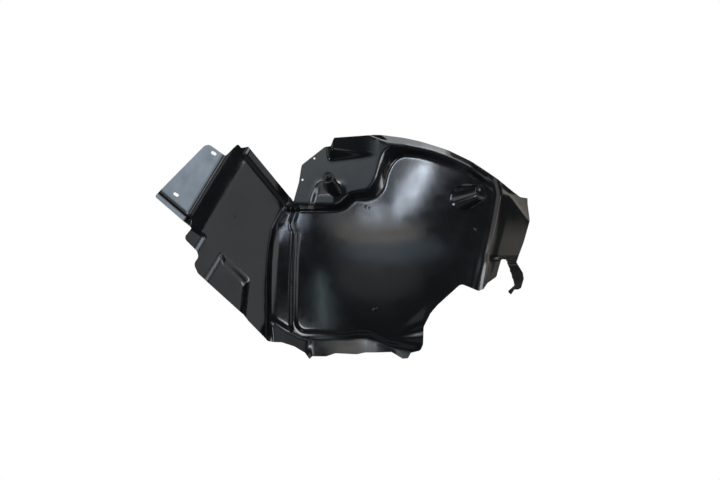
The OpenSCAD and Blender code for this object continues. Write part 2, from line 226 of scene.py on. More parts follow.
# Upright lines of the arch, as z and x, and the rib's width, as z and width
VALLEY = [(-370, -141), (-188, -138), (-145, -134), (-107, -126), (-76, -109), (-54, -82), (90, -78)]
RIDGE = [(-370, -131), (-254, -130), (-185, -127), (-138, -122), (-99, -113), (-66, -98),
         (-54, -77), (90, -75)]
GROOVE = [(-370, -77), (-276, -77), (-184, -75), (-117, -71), (-109, -76), (-94, -79), (-61, -67),
          (-54, -62), (90, -60)]
RIB = [(-250, 320), (-240, 322), (-174, 340), (-132, 351), (-88, 361), (-48, 368), (-28, 372),
       (-14, 366), (0, 358)]
RIB_WIDTH = [(-250, 15), (-240, 14), (-190, 8), (-174, 7), (0, 7)]

# Cross lines of the arch, as x and z
CREASE = [(-150, -306), (-130, -313), (-95, -336), (-60, -352), (-37, -351), (-9, -351), (36, -355),
          (62, -347), (82, -346), (105, -357), (130, -370), (147, -376), (180, -376)]
FLANGE = [(-150, -306), (-130, -313), (-95, -336), (-60, -352), (-37, -351.5), (36, -354),
          (62, -353.5), (82, -353.5), (105, -357), (130, -366), (147, -373), (180, -376)]
EDGE = [(-150, -300), (-90, -330), (-60, -334), (-20, -334), (36, -340), (62, -335), (90, -336),
        (130, -358), (180, -366)]
WALL_FOOT = [(-90, -69), (20, -69), (38, -64), (58, -44), (82, -46), (102, -42), (114, -32),
             (120, -23), (126, 7), (136, 30), (148, 45), (165, 52), (196, 50), (221, 44), (246, 35),
             (287, 23), (329, 3), (357, -10), (371, -19), (388, -30), (456, -76)]
WALL_TOP = [(-90, -57), (16, -57), (27, -53), (48, -31), (60, -29), (86, -24), (95, -13), (105, 7),
            (115, 47), (123, 63), (138, 72), (158, 71), (196, 65), (231, 58), (258, 48), (287, 36),
            (329, 14), (357, -4), (371, -15), (388, -26), (456, -72)]
TOP = [(-90, 92), (0, 96), (109, 101), (166, 95), (203, 87), (259, 70), (315, 44), (371, 7),
       (413, -24), (427, -32), (456, -34)]

# Fall of the plate, as x and depth, and of the pleats, as angle round their root and depth
PLATE_FALL = [(-90, -2), (0, 0), (110, 4), (166, 10), (267, 24), (330, 40), (371, 54), (388, 62),
              (456, 130)]
PLEATS = [(-28, 0), (-16, -4), (-6, 3), (4, -5), (14, 3), (26, -3), (42, 0)]

# Lines along the wing, as s and e
MARGIN = [(-330, -212), (-304, -216), (-214, -229), (-205, -246), (-167, -248), (-113, -263),
          (-37, -280), (-3, -353), (10, -420), (90, -440)]
LIP = [(-330, -20), (-230, -40), (-190, -52), (-42, -104), (90, -150)]

# Small moulding pips: x, z, radius, rise
PIPS = [(82, -62, 1.5, 0.35), (90, -64, 1.3, 0.3), (322, -110, 1.4, 0.8), (99, -287, 1.6, 0.8),
        (106, -285, 1.3, 0.6), (-204, -82, 1.4, 0.4)]

# Wide folds. A BAND is its level in the middle and the distance over which that falls by one.
RIB_SHIFT = 4.0
RIB_BAND = (1.6, 20.0)
RIB_TOP_FADE = (5.0, 20.0)
FOOT_SHIFT = 4.0
FOOT_BAND = (2.25, 8.0)
FOOT_END_GAP = 6.0
FOOT_END_RUN = 12.0
KNEE_AT = (380.0, -4.0)
KNEE_BAND = (1.5, 26.0)
PLEAT_LEVEL = 0.6
SOFT_PLEAT_FADES = ((140.0, 20.0), (235.0, 10.0), (-300.0, 20.0))

# Tight folds
VALLEY_BAND = (1.5, 7.0)
VALLEY_TOP_FADE = (-50.0, 10.0)
HEM_LEAD = 4.0
HEM_RUN = 6.0
HEM_END_FADE = (-95.0, 10.0)
PLATE_FOOT_LEVEL = 0.8
PLATE_FOOT_BAND = (1.6, 10.0)
PLATE_FOOT_FADES = ((-72.0, 8.0), (30.0, 12.0))

# Meshing: the raster's steps between points, and the bend that asks for close ones
CLOSE_STEP = 2
OPEN_STEP = 6
CLOSE_BEND = 0.012
RIM_STEP = 1.6
RIM_CLEAR = 0.7
RIM_REACH = 2.2
BOX_GAP = 0.05
SLIVER = 1e-7
SAME_POINT = 1e-5
NO_LENGTH = 1e-12

# Corners: the half angle that counts as straight, the share of a side and the step of an arc
STRAIGHT = 88.0
ARC_SHARE = 0.45
ARC_STEP = 12.0

# Photograph: its size and the frame's origin in pixels, and the real size of a pixel
PICTURE = (720, 480)
ORIGIN_AT = (328.8, 179.3)
PIXEL = 2.2
LENS = 136.0
SENSOR = 36.0
SIGHT_DEPTH = 0.09

# Colours of the world and the lamps
WORLD_GLOW, WORLD_STRENGTH, WHITE = (0.55, 0.6, 0.7, 1), 0.07, (1, 1, 1, 1)
BLUE, COOL, PLAIN, WARM = (0.64, 0.83, 1.0), (0.77, 0.87, 1.0), (0.95, 0.97, 1.0), (1.0, 0.93, 0.82)
BAND_BLUE, STREAK_BLUE, FLOOR_GREY = (0.72, 0.83, 1.0), (0.7, 0.95, 1.0), (0.95, 0.92, 1.0)

# Places on the liner that mirror the lamps, in metres
LEFT, MIDDLE, RIGHT = (-0.26, 0.08, -0.06), (0.1, 0.08, -0.1), (0.36, 0.08, -0.1)
LOW_EDGE, PLATE_MIDDLE = (0.0, 0.1, -0.36), (0.1, 0.05, 0.03)
PLATE_TOP, PLATE_RIGHT = (0.15, 0.1, 0.09), (0.25, 0.1, 0.06)


def look(key, table):
    t = np.array(table, float)
    return np.interp(key, t[:, 0], t[:, 1])


def clamp(q):
    return np.clip(q, 0.0, 1.0)


def mix(a, b, q):
    return a + (b - a) * q


def after(value, start, run):
    """Nothing up to the start, and one from the end of the run on."""
    return clamp((value - start) / run)


def before(value, end, run):
    """One up to the run, and nothing from the end on."""
    return clamp((end - value) / run)


def near(distance, level, fall):
    """A level of at most one at no distance, that falls by one over the fall."""
    return clamp(level - np.abs(distance) / fall)


def direction(turn, rise):
    """Unit vector in the frame: turned from the front to the right, and raised."""
    a, b = math.radians(turn), math.radians(rise)
    return np.array([math.sin(a) * math.cos(b), -math.cos(a) * math.cos(b), math.sin(b)])


# Depth of the body-side face

def dome_y(x, z):
    h = (x - DOME_CENTRE[0]) / DOME_HALF_WIDTH
    up = np.maximum(0, z - DOME_CENTRE[1]) / DOME_UP
    down = np.maximum(0, DOME_CENTRE[1] - z) / DOME_DOWN
    side = DOME_DEPTH + DOME_SIDE_FALL * h * h
    return side + DOME_TOP_FALL * up * up + DOME_LOW_FALL * down * down


def fold_s(x, z):
    return x * math.cos(FOLD) - z * math.sin(FOLD)


def fold_e(x, z):
    return x * math.sin(FOLD) + z * math.cos(FOLD)


def panel_y(x, z):
    return FOOT_DEPTH + PANEL_SLOPE * (fold_s(x, z) - FOOT_S)


def inside(x, z):
    """Distance inside the groove and the lower edge, round their corner."""
    a = x - look(z, GROOVE) - GROOVE_WIDTH / 2
    b = z - look(x, EDGE)
    round_d = CORNER_R - np.hypot(CORNER_R - a, CORNER_R - b)
    return np.where((a < CORNER_R) & (b < CORNER_R), round_d, np.minimum(a, b))


def body_y(x, z):
    """Dome and groove, the crest beside it, and the flank from the crest's ridge to the valley."""
    ridge, valley = look(z, RIDGE), look(z, VALLEY)
    edge = dome_y(ridge, z) + CREST_DROP
    flank = mix(edge, panel_y(valley, z), (ridge - x) / (ridge - valley))
    live = after(z, look(x, CREASE), GROOVE_END_RUN)
    strip = look(z, GROOVE) - GROOVE_WIDTH / 2 - x
    groove = GROOVE_DEPTH * clamp(-inside(x, z) / GROOVE_WALL)
    face = dome_y(x, z) + groove - GROOVE_DEPTH * clamp(strip / GROOVE_WALL) * live
    face = face + CAP_SLOPE * np.maximum(0, CAP_X - x) * after(z, *CAP_FADE)
    crest = CREST_DROP * before(x, ridge + CREST_WIDTH, CREST_WIDTH) * live
    return np.where(x < ridge, flank, face + crest)


def flange_y(x, z):
    live = after(x, look(z, RIDGE), FLANGE_START) * before(z, look(x, CREASE), FLANGE_BEND)
    slope = FLANGE_SLOPE + FLANGE_STEEPER * before(x, *FLANGE_FADE)
    return -live * (look(x, FLANGE) - z) * slope


def pleat_y(x, z):
    angle = np.degrees(np.arctan2(z - PLEAT_ROOT[1], x - PLEAT_ROOT[0]))
    grow = after(x, *PLEAT_LEFT_FADE) * before(x, *PLEAT_RIGHT_FADE)
    return np.where(x > PLEAT_ROOT[0], grow * look(angle, PLEATS), 0)


def rib_edge(x, z):
    """Distance past the rib's left edge, whose upper end bends round along the plate's foot."""
    left = look(z, RIB)
    a = np.maximum(0, x - left + RIB_CORNER)
    b = np.maximum(0, z - look(x, WALL_FOOT) + RIB_CORNER)
    grow = clamp((x - left + RIB_CORNER_SHARE * RIB_CORNER) / RIB_CORNER)
    bend = mix(OFF_RIB, np.hypot(a, b) - RIB_CORNER, grow)
    return np.maximum(x - left, np.where(z > RIB_CORNER_Z, bend, OFF_RIB))


def side_y(x, z):
    right = look(z, RIB) + look(z, RIB_WIDTH)
    past = np.maximum(0, x - right)
    above = np.maximum(0, (z - FACET_AT[1]) * FACET_WAY[1] + (x - FACET_AT[0]) * FACET_WAY[0])
    rib = RIB_RISE * clamp((rib_edge(x, z) + RIB_RUN) / RIB_RUN)
    facet = np.where(past > SIDE_START, FACET_SLOPE * above, 0)
    step = SIDE_STEP * before(z, *SIDE_STEP_FADE) * clamp(past / SIDE_START)
    leg = LEG_SLOPE * np.maximum(0, LEG_TOP - z) * after(x, *LEG_FADE)
    return -rib + SIDE_SLOPE * past + facet - step - leg


def plate_y(x, z):
    q = clamp((x - BOX_X[0]) / (BOX_X[1] - BOX_X[0]))
    low, high = mix(*BOX_LOW, q), mix(*BOX_HIGH, q)
    box = BOX_RISE * (1 - q) ** BOX_POWER * after(x, *BOX_FADE)
    pad = BOSS1_PAD * clamp((x - PAD_X - PAD_LEAN * z) / PAD_RUN)
    pad = pad * before(x, *PAD_RIGHT_FADE) * before(z, *PAD_TOP_FADE)
    roll = np.maximum(0, z - look(x, TOP) + ROLL_WIDTH)
    roll = roll * clamp((x - ROLL_X + ROLL_LEAN * z) / ROLL_RUN) * before(x, *ROLL_RIGHT_FADE)
    plate = PLATE_DEPTH + look(x, PLATE_FALL) - PLATE_TILT * z
    return plate - box * clamp((z - low) / (high - low)) - pad + ROLL_SLOPE * roll


def arch_y(x, z):
    """The body up to the plate's foot and the plate over it, which dies away past the knee."""
    foot, top = look(x, WALL_FOOT), look(x, WALL_TOP)
    knee = after(x, *KNEE_FADE)
    low = mix(np.minimum(z, foot), z, knee)
    body = body_y(np.minimum(x, look(z, RIB) + DOME_REACH), low)
    body = body + flange_y(x, z) + pleat_y(x, z) + side_y(x, low)
    plate = mix(np.minimum(plate_y(x, z), body), body, knee)
    crisp = clamp((z - foot) / (top - foot))
    soft = clamp((z - foot + KNEE_SOFT) / (top - foot + 2 * KNEE_SOFT))
    return mix(body, plate, mix(crisp, soft, knee))


def wing_line():
    """Section across the wing's folds, as s and depth."""
    pts = [(TAB_END, RIDGE_DEPTH + TAB_SLOPE * (RIDGE_S - TAB_END)), (RIDGE_S, RIDGE_DEPTH),
           (FOOT_S, FOOT_DEPTH), (PANEL_END, FOOT_DEPTH + PANEL_SLOPE * (PANEL_END - FOOT_S))]
    return [pts[0]] + arc_corner(*pts[0:3], RIDGE_R) + arc_corner(*pts[1:4], FOOT_R) + [pts[3]]


def margin_y(s):
    level = FOOT_DEPTH + MARGIN_DROP + PANEL_SLOPE * (s - FOOT_S)
    for at, rise in zip(JOGGLE_S, JOGGLE_RISE):
        level = level - rise * clamp((s - at + JOGGLE_RUN / 2) / JOGGLE_RUN)
    level = level - (PANEL_SLOPE - MARGIN_SLOPE) * np.maximum(0, s - JOGGLE_S[1])
    return np.where(s < RIDGE_S - HEM_GAP, look(s, wing_line()) + HEM_H, level)


def margin_run(s):
    """The moulding has a rounder step here than the solid."""
    soft = mix(STEP_RUN, SOFT_STEP, after(s, *SOFT_FADE))
    soft = mix(soft, CREASE_RUN, after(s, *CREASE_FADE))
    return mix(soft, MARGIN_WALL, after(s, *MARGIN_END_FADE))


def wing_y(x, z):
    s, e = fold_s(x, z), fold_e(x, z)
    base = mix(look(s, wing_line()), margin_y(s), before(e, look(s, MARGIN), margin_run(s)))
    lip = LIP_H * after(e, look(s, LIP), STEP_RUN)
    return base - lip * clamp((s - FOOT_S + LIP_LEAD) / LIP_LEAD_RUN)


def liner_y(x, z):
    return np.where(x < look(z, VALLEY), wing_y(x, z), arch_y(x, z))


# Plane outlines

def arc_corner(a, b, c, r):
    """Points of the arc that rounds the corner b between a and c."""
    a, b, c = (np.array(p[:2], float) for p in (a, b, c))
    u, v = (a - b) / np.linalg.norm(a - b), (c - b) / np.linalg.norm(c - b)
    half = math.acos(max(-1, min(1, float(u @ v)))) / 2
    if half > math.radians(STRAIGHT):
        return [tuple(b)]
    room = min(ARC_SHARE * np.linalg.norm(a - b), ARC_SHARE * np.linalg.norm(c - b))
    reach = min(r / math.tan(half), room)
    rr = reach * math.tan(half)
    centre = b + (u + v) / np.linalg.norm(u + v) * rr / math.sin(half)
    n = max(2, round((math.pi - 2 * half) / math.radians(ARC_STEP)))
    out = []
    for i in range(n + 1):
        p = mix(b + u * reach, b + v * reach, i / n) - centre
        out.append(tuple(centre + p / np.linalg.norm(p) * rr))
    return out


def rounded(pts):
    n = len(pts)
    out = []
    for i in range(n):
        out += arc_corner(pts[i - 1], pts[i], pts[(i + 1) % n], pts[i][2])
    return np.array(out)


def resample(loop, step):
    out = []
    for a, b in zip(loop, np.roll(loop, -1, axis=0)):
        n = max(1, int(math.ceil(np.linalg.norm(b - a) / step)))
        out += [mix(a, b, i / n) for i in range(n)]
    return np.array(out)


def in_loop(px, pz, loop):
    odd = np.zeros(px.shape, bool)
    for (x0, z0), (x1, z1) in zip(loop, np.roll(loop, -1, axis=0)):
        if z0 == z1:
            continue
        odd ^= ((z0 > pz) != (z1 > pz)) & (px < (x1 - x0) * (pz - z0) / (z1 - z0) + x0)
    return odd


def in_plan(px, pz, outer, holes):
    live = in_loop(px, pz, outer)
    for hole in holes:
        live &= ~in_loop(px, pz, hole)
    return live


def loop_distance(px, pz, loop):
    best = np.full(px.shape, np.inf)
    for (x0, z0), (x1, z1) in zip(loop, np.roll(loop, -1, axis=0)):
        dx, dz = x1 - x0, z1 - z0
        t = clamp(((px - x0) * dx + (pz - z0) * dz) / (dx * dx + dz * dz + NO_LENGTH))
        best = np.minimum(best, np.hypot(px - x0 - t * dx, pz - z0 - t * dz))
    return best


def ring(cx, cz, r, n):
    a = np.linspace(0, 2 * math.pi, n, endpoint=False)
    return np.stack([cx + r * np.cos(a), cz + r * np.sin(a)], axis=1)


def slot_loop(at, n=10):
    r, reach = SLOT_SIZE[1] / 2, (SLOT_SIZE[0] - SLOT_SIZE[1]) / 2
    turn = -math.radians(SLOT_TURN)
    ux, uz = math.cos(turn), math.sin(turn)
    out = []
    for side in (1, -1):
        for i in range(n + 1):
            a = turn + math.pi * (i / n - side / 2)
            out.append((at[0] + side * reach * ux + r * math.cos(a),
                        at[1] + side * reach * uz + r * math.sin(a)))
    return np.array(out)


# Smoothed height field: the edges of a moulding are rounded

def wide_folds(x, z):
    """Where the folds are wide and round: the rib, the foot of the ramp, the knee and the pleats."""
    s, e = fold_s(x, z), fold_e(x, z)
    middle = look(z, RIB) + look(z, RIB_WIDTH) / 2
    rib = near(x - middle - RIB_SHIFT, *RIB_BAND) * before(z, *RIB_TOP_FADE)
    foot = near(s - FOOT_S - FOOT_SHIFT, *FOOT_BAND)
    foot = foot * clamp((e - look(s, MARGIN) - FOOT_END_GAP) / FOOT_END_RUN)
    foot = foot * clamp((look(s, LIP) - FOOT_END_GAP - e) / FOOT_END_RUN)
    knee = near(np.hypot(x - KNEE_AT[0], z - KNEE_AT[1]), *KNEE_BAND)
    left, right, top = SOFT_PLEAT_FADES
    pleats = PLEAT_LEVEL * after(x, *left) * before(x, *right) * before(z, *top)
    return np.maximum(np.maximum(rib, foot), np.maximum(knee, pleats))


def tight_folds(x, z):
    """Where the folds are sharp: the valley, the joggles, the hem of the tab and the plate's foot."""
    s, e = fold_s(x, z), fold_e(x, z)
    valley = near(x - look(z, VALLEY), *VALLEY_BAND) * before(z, *VALLEY_TOP_FADE)
    margin = clamp((look(s, MARGIN) - e + HEM_LEAD) / HEM_RUN) * before(s, *HEM_END_FADE)
    margin = margin * (x < look(z, VALLEY))
    middle = (look(x, WALL_FOOT) + look(x, WALL_TOP)) / 2
    left, right = PLATE_FOOT_FADES
    step = PLATE_FOOT_LEVEL * near(z - middle, *PLATE_FOOT_BAND) * after(x, *left) * before(x, *right)
    return np.maximum(np.maximum(valley, margin), step)


class Field:
    """Raster of the depth, its slopes and its bend. A blur's width is a standard deviation."""
    STEP = 0.75
    X, Z = (-392, 462), (-410, 112)
    TIGHT, USUAL, WIDE = 1.1, 3.0, 7.5
    REACH = 3
    LAST_CELL = 1.001

    def __init__(self):
        self.xs, self.zs = np.arange(*self.X, self.STEP), np.arange(*self.Z, self.STEP)
        x, z = np.meshgrid(self.xs, self.zs, indexing="ij")
        y = liner_y(x, z)
        wide = self.blur(wide_folds(x, z), self.USUAL)
        tight = self.blur(tight_folds(x, z), self.USUAL)
        tight_y = self.blur(y, self.TIGHT)
        y = mix(mix(self.blur(y, self.USUAL), self.blur(y, self.WIDE), wide), tight_y, tight)
        for px, pz, r, rise in PIPS:
            y = y - rise * np.exp(-((x - px) ** 2 + (z - pz) ** 2) / (2 * r * r))
        self.y = y
        self.gx, self.gz = np.gradient(y, self.STEP)
        bends = ((self.gx, 0), (self.gz, 1), (self.gx, 1))
        self.bend = sum(np.abs(np.gradient(g, self.STEP, axis=k)) for g, k in bends)

    def blur(self, y, sigma):
        reach = int(self.REACH * sigma / self.STEP)
        w = np.exp(-0.5 * (np.arange(-reach, reach + 1) * self.STEP / sigma) ** 2)
        w /= w.sum()
        for axis in (0, 1):
            pad = [(0, 0), (0, 0)]
            pad[axis] = (reach, reach)
            p = np.pad(y, pad, mode="edge")
            n = y.shape[axis]
            y = sum(w[k] * np.take(p, np.arange(k, k + n), axis=axis) for k in range(len(w)))
        return y

    def at(self, table, x, z):
        fx = np.clip((x - self.xs[0]) / self.STEP, 0, len(self.xs) - self.LAST_CELL)
        fz = np.clip((z - self.zs[0]) / self.STEP, 0, len(self.zs) - self.LAST_CELL)
        i, j = fx.astype(int), fz.astype(int)
        u, v = fx - i, fz - j
        low = (1 - u) * (1 - v) * table[i, j] + u * (1 - v) * table[i + 1, j]
        return low + (1 - u) * v * table[i, j + 1] + u * v * table[i + 1, j + 1]

    def depth(self, x, z):
        return self.at(self.y, x, z)

    def normal(self, x, z):
        gx, gz = self.at(self.gx, x, z), self.at(self.gz, x, z)
        n = np.stack([gx, -np.ones_like(gx), gz], axis=-1)
        return n / np.linalg.norm(n, axis=-1, keepdims=True)


FIELD = Field()


# Mesh building

def put_in_scene(name, data):
    obj = bpy.data.objects.new(name, data)
    bpy.context.scene.collection.objects.link(obj)
    return obj


def object_from(name, verts, faces):
    mesh = bpy.data.meshes.new(name)
    mesh.from_pydata([tuple(float(c) * MM for c in v) for v in verts], [], faces)
    mesh.validate()
    mesh.update()
    mesh.polygons.foreach_set("use_smooth", [True] * len(mesh.polygons))
    return put_in_scene(name, mesh)


# Bosses

def bosses():
    """End, axis, radii at both ends, and length, with the tail that runs on into the shell."""
    sizes = [((0.0, 0.0, 0.0), BOSS1_TILT, BOSS1_R, BOSS1_LEN, BOSS1_TAIL),
             (BOSS2_END, BOSS2_TILT, BOSS2_R, BOSS2_LEN, BOSS2_TAIL)]
    out = []
    for end, (rise, turn), (r_end, r_root), length, tail in sizes:
        r_tail = r_root + (r_root - r_end) * tail / length
        out.append((np.array(end), direction(turn, rise), (r_end, r_tail), length + tail))
    return out


def side_vectors(axis):
    u = np.cross(axis, (0, 0, 1.0))
    u /= np.linalg.norm(u)
    return u, np.cross(axis, u)


def boss_angles():
    return np.linspace(0, 2 * math.pi, BOSS_SIDES, endpoint=False)


def reach_to_shell(end, axis, radii, length, inset, sink):
    """For each angle, how far down a cone the shell lies, and the point there."""
    u, v = side_vectors(axis)
    t = np.linspace(0, length, BOSS_STATIONS)
    r = mix(radii[0], radii[1], t / length) - inset
    reach, points = [], []
    for a in boss_angles():
        p = end - np.outer(t, axis) + np.outer(r * math.cos(a), u) + np.outer(r * math.sin(a), v)
        deep = p[:, 1] - FIELD.depth(p[:, 0], p[:, 2]) - sink
        k = int(np.argmax(deep > 0))
        reach.append(t[k])
        points.append(p[k])
    return np.array(reach), np.array(points)


def boss_rows(end, axis, radii, length):
    """Distance down the axis and radius of each ring: hole, end, outside, and core."""
    root, _ = reach_to_shell(end, axis, radii, length, 0.0, WALL / 2)
    deep, _ = reach_to_shell(end, axis, radii, length, WALL, WALL)
    taper = (radii[1] - radii[0]) / length
    core = radii[0] - WALL
    rows = [(SCREW_LEN, SCREW_R), (SCREW_MOUTH, SCREW_R), (MOUTH_ROUND, SCREW_R + MOUTH_ROUND),
            (0.0, SCREW_R + SCREW_MOUTH), (0.0, radii[0] - BOSS_EDGE_R - FACE_GAP)]
    for k in range(BOSS_EDGE_STEPS + 1):
        a = math.radians(90 / BOSS_EDGE_STEPS * k)
        rows.append((BOSS_EDGE_R * (1 - math.cos(a)),
                     radii[0] - BOSS_EDGE_R + BOSS_EDGE_R * math.sin(a)))
    for q in np.linspace(FIRST_ROW, 1, SIDE_ROWS):
        t = mix(BOSS_EDGE_R, root, q)
        flare = FLARE_RISE * np.exp(-((root - t) / FLARE_RUN))
        rows.append((t, radii[0] + taper * t + flare))
    rows += [(deep, core + taper * deep), (SCREW_LEN + CORE_CHAMFER, core),
             (SCREW_LEN, core - CORE_CHAMFER)]
    return rows


def boss(name, end, axis, radii, length):
    """Tapered hollow boss: rounded end, screw hole, cored from behind, its root in the shell."""
    u, v = side_vectors(axis)
    angles = boss_angles()
    rows = boss_rows(end, axis, radii, length)
    verts = []
    for row in rows:
        t, r = (np.broadcast_to(value, angles.shape) for value in row)
        for a, ti, ri in zip(angles, t, r):
            verts.append(end - axis * ti + u * ri * math.cos(a) + v * ri * math.sin(a))
    n, total = len(angles), len(rows)
    faces = []
    for k in range(total):
        here, there = k * n, (k + 1) % total * n
        for i in range(n):
            j = (i + 1) % n
            faces.append((here + i, here + j, there + j, there + i))
    return object_from(name, verts, faces)


# Shell

def plan_loops():
    """Outline, kept inside the solid's box, and the loops of the holes and the bosses' cores."""
    outer = resample(rounded(OUTLINE), RIM_STEP)
    for k, axis in ((0, 0), (1, 2)):
        low, high = cad_box[0][axis] / MM + BOX_GAP, cad_box[1][axis] / MM - BOX_GAP
        outer[:, k] = np.clip(outer[:, k], low, high)
    holes = [ring(x, z, CLIP_R, CLIP_SIDES) for x, z in CLIP_AT] + [slot_loop(at) for at in SLOT_AT]
    for size in bosses():
        _, core = reach_to_shell(*size, WALL, WALL / 2)
        holes.append(core[:, [0, 2]])
    return outer, holes


def skin_points(outer, holes):
    """Close points where the surface bends, sparse ones where it is open."""
    steps = (np.arange(0, len(FIELD.xs), CLOSE_STEP), np.arange(0, len(FIELD.zs), CLOSE_STEP))
    xi, zi = np.meshgrid(*steps, indexing="ij")
    keep = (FIELD.bend[xi, zi] > CLOSE_BEND) | ((xi % OPEN_STEP == 0) & (zi % OPEN_STEP == 0))
    x, z = FIELD.xs[xi][keep], FIELD.zs[zi][keep]
    live = in_plan(x, z, outer, holes)
    x, z = x[live], z[live]
    gap = np.minimum.reduce([loop_distance(x, z, loop) for loop in [outer] + holes])
    return x[gap > RIM_CLEAR], z[gap > RIM_CLEAR]


def plan_mesh(outer, holes):
    """Points and triangles over the plan, all turned one way."""
    pts, edges = [], []
    for loop in [outer] + holes:
        first, n = len(pts), len(loop)
        edges += [(first + i, first + (i + 1) % n) for i in range(n)]
        pts += [Vector((float(a), float(b))) for a, b in loop]
    pts += [Vector((float(a), float(b))) for a, b in zip(*skin_points(outer, holes))]
    out = delaunay_2d_cdt(pts, edges, [], 0, SAME_POINT)
    flat = np.array([(p.x, p.y) for p in out[0]])
    tri = np.array(out[2])
    middle = flat[tri].mean(axis=1)
    tri = tri[in_plan(middle[:, 0], middle[:, 1], outer, holes)]
    a, b, c = flat[tri[:, 0]], flat[tri[:, 1]], flat[tri[:, 2]]
    turn = (b[:, 0] - a[:, 0]) * (c[:, 1] - a[:, 1]) - (b[:, 1] - a[:, 1]) * (c[:, 0] - a[:, 0])
    whole = np.abs(turn) > SLIVER
    tri, turn = tri[whole], turn[whole]
    tri[turn < 0] = tri[turn < 0][:, ::-1]
    used = np.unique(tri)
    remap = np.full(len(flat), -1)
    remap[used] = np.arange(len(used))
    return flat[used], remap[tri]


def rim_edges(tri):
    """Edges that only one triangle has, each with its lower point first."""
    edges = np.sort(np.concatenate([tri[:, [0, 1]], tri[:, [1, 2]], tri[:, [2, 0]]]), axis=1)
    unique, count = np.unique(edges, axis=0, return_counts=True)
    return unique[count == 1]


def back_points(front, normal, rim):
    """Square to the front, but straight behind it along the rim."""
    back = front - WALL * normal
    at = np.unique(rim)
    back[at] = front[at]
    back[at, 1] += np.minimum(WALL / np.abs(normal[at, 1]), RIM_REACH * WALL)
    back[:, 1] = np.minimum(back[:, 1], cad_box[1][1] / MM - BOX_GAP)
    return back


def shell_faces(tri, rim, n):
    """Front, back, and the edge between them. Points of the back are numbered n later."""
    on_rim = set(map(tuple, rim.tolist()))
    front = [tuple(t) for t in tri.tolist()]
    back = [(c + n, b + n, a + n) for a, b, c in front]
    edge = []
    for a, b, c in front:
        for i, j in ((a, b), (b, c), (c, a)):
            if (min(i, j), max(i, j)) in on_rim:
                edge.append((j, i, i + n, j + n))
    return front + back + edge


def shell():
    """Moulded sheet with the height field's own normals on both faces and flat ones on its edge."""
    flat, tri = plan_mesh(*plan_loops())
    x, z = flat[:, 0], flat[:, 1]
    normal = FIELD.normal(x, z)
    front = np.stack([x, FIELD.depth(x, z), z], axis=1)
    rim = rim_edges(tri)
    verts = np.concatenate([front, back_points(front, normal, rim)])
    obj = object_from("liner_shell", verts, shell_faces(tri, rim, len(front)))
    point_normals = np.concatenate([normal, -normal]).tolist()
    corner_normals = []
    for k, poly in enumerate(obj.data.polygons):
        for v in poly.vertices:
            corner_normals.append(point_normals[v] if k < 2 * len(tri) else tuple(poly.normal))
    obj.data.normals_split_custom_set(corner_normals)
    return obj


# Materials

def noise(tree, place, scale, detail):
    node = tree.nodes.new("ShaderNodeTexNoise")
    node.inputs["Scale"].default_value = scale
    node.inputs["Detail"].default_value = detail
    tree.links.new(place, node.inputs["Vector"])
    return node


def tone(tree, place):
    """Slight tone changes of the moulding."""
    ramp = tree.nodes.new("ShaderNodeValToRGB")
    dark, light = ramp.color_ramp.elements
    dark.position, light.position = 0.3, 0.75
    dark.color, light.color = (0.0028, 0.003, 0.0033, 1), (0.0055, 0.0058, 0.0058, 1)
    tree.links.new(noise(tree, place, 9.0, 4.0).outputs["Fac"], ramp.inputs["Fac"])
    return ramp.outputs["Color"]


def gloss(tree, place):
    """Roughness, broken by handling marks."""
    smear = noise(tree, place, 22.0, 3.0)
    smear.inputs["Roughness"].default_value = 0.62
    rough = tree.nodes.new("ShaderNodeMapRange")
    for name, value in (("From Min", 0.3), ("From Max", 0.75), ("To Min", 0.11), ("To Max", 0.2)):
        rough.inputs[name].default_value = value
    tree.links.new(smear.outputs["Fac"], rough.inputs["Value"])
    return rough.outputs["Result"]


def orange_peel(tree, place):
    """Fine peel over a slow wave of the moulded sheet."""
    n, link = tree.nodes, tree.links
    stretch = n.new("ShaderNodeMapping")
    stretch.inputs["Scale"].default_value = (1.0, 1.0, 0.35)
    link.new(place, stretch.inputs["Vector"])
    both = n.new("ShaderNodeMath")
    both.operation = "MULTIPLY_ADD"
    both.inputs[1].default_value = 7.0
    link.new(noise(tree, place, 9.0, 2.0).outputs["Fac"], both.inputs[0])
    link.new(noise(tree, stretch.outputs["Vector"], 55.0, 2.0).outputs["Fac"], both.inputs[2])
    bump = n.new("ShaderNodeBump")
    bump.inputs["Strength"].default_value = 0.12
    bump.inputs["Distance"].default_value = 0.0004
    link.new(both.outputs[0], bump.inputs["Height"])
    return bump.outputs["Normal"]


def plastic():
    mat = bpy.data.materials.new("gloss_black_plastic")
    mat.use_nodes = True
    tree = mat.node_tree
    tree.nodes.clear()
    out = tree.nodes.new("ShaderNodeOutputMaterial")
    bsdf = tree.nodes.new("ShaderNodeBsdfPrincipled")
    bsdf.inputs["IOR"].default_value = 1.5
    place = tree.nodes.new("ShaderNodeTexCoord").outputs["Object"]
    tree.links.new(bsdf.outputs[0], out.inputs[0])
    tree.links.new(tone(tree, place), bsdf.inputs["Base Color"])
    tree.links.new(gloss(tree, place), bsdf.inputs["Roughness"])
    tree.links.new(orange_peel(tree, place), bsdf.inputs["Normal"])
    return mat


# Studio

def background(tree, colour, strength):
    node = tree.nodes.new("ShaderNodeBackground")
    node.inputs["Color"].default_value = colour
    node.inputs["Strength"].default_value = strength
    return node.outputs[0]


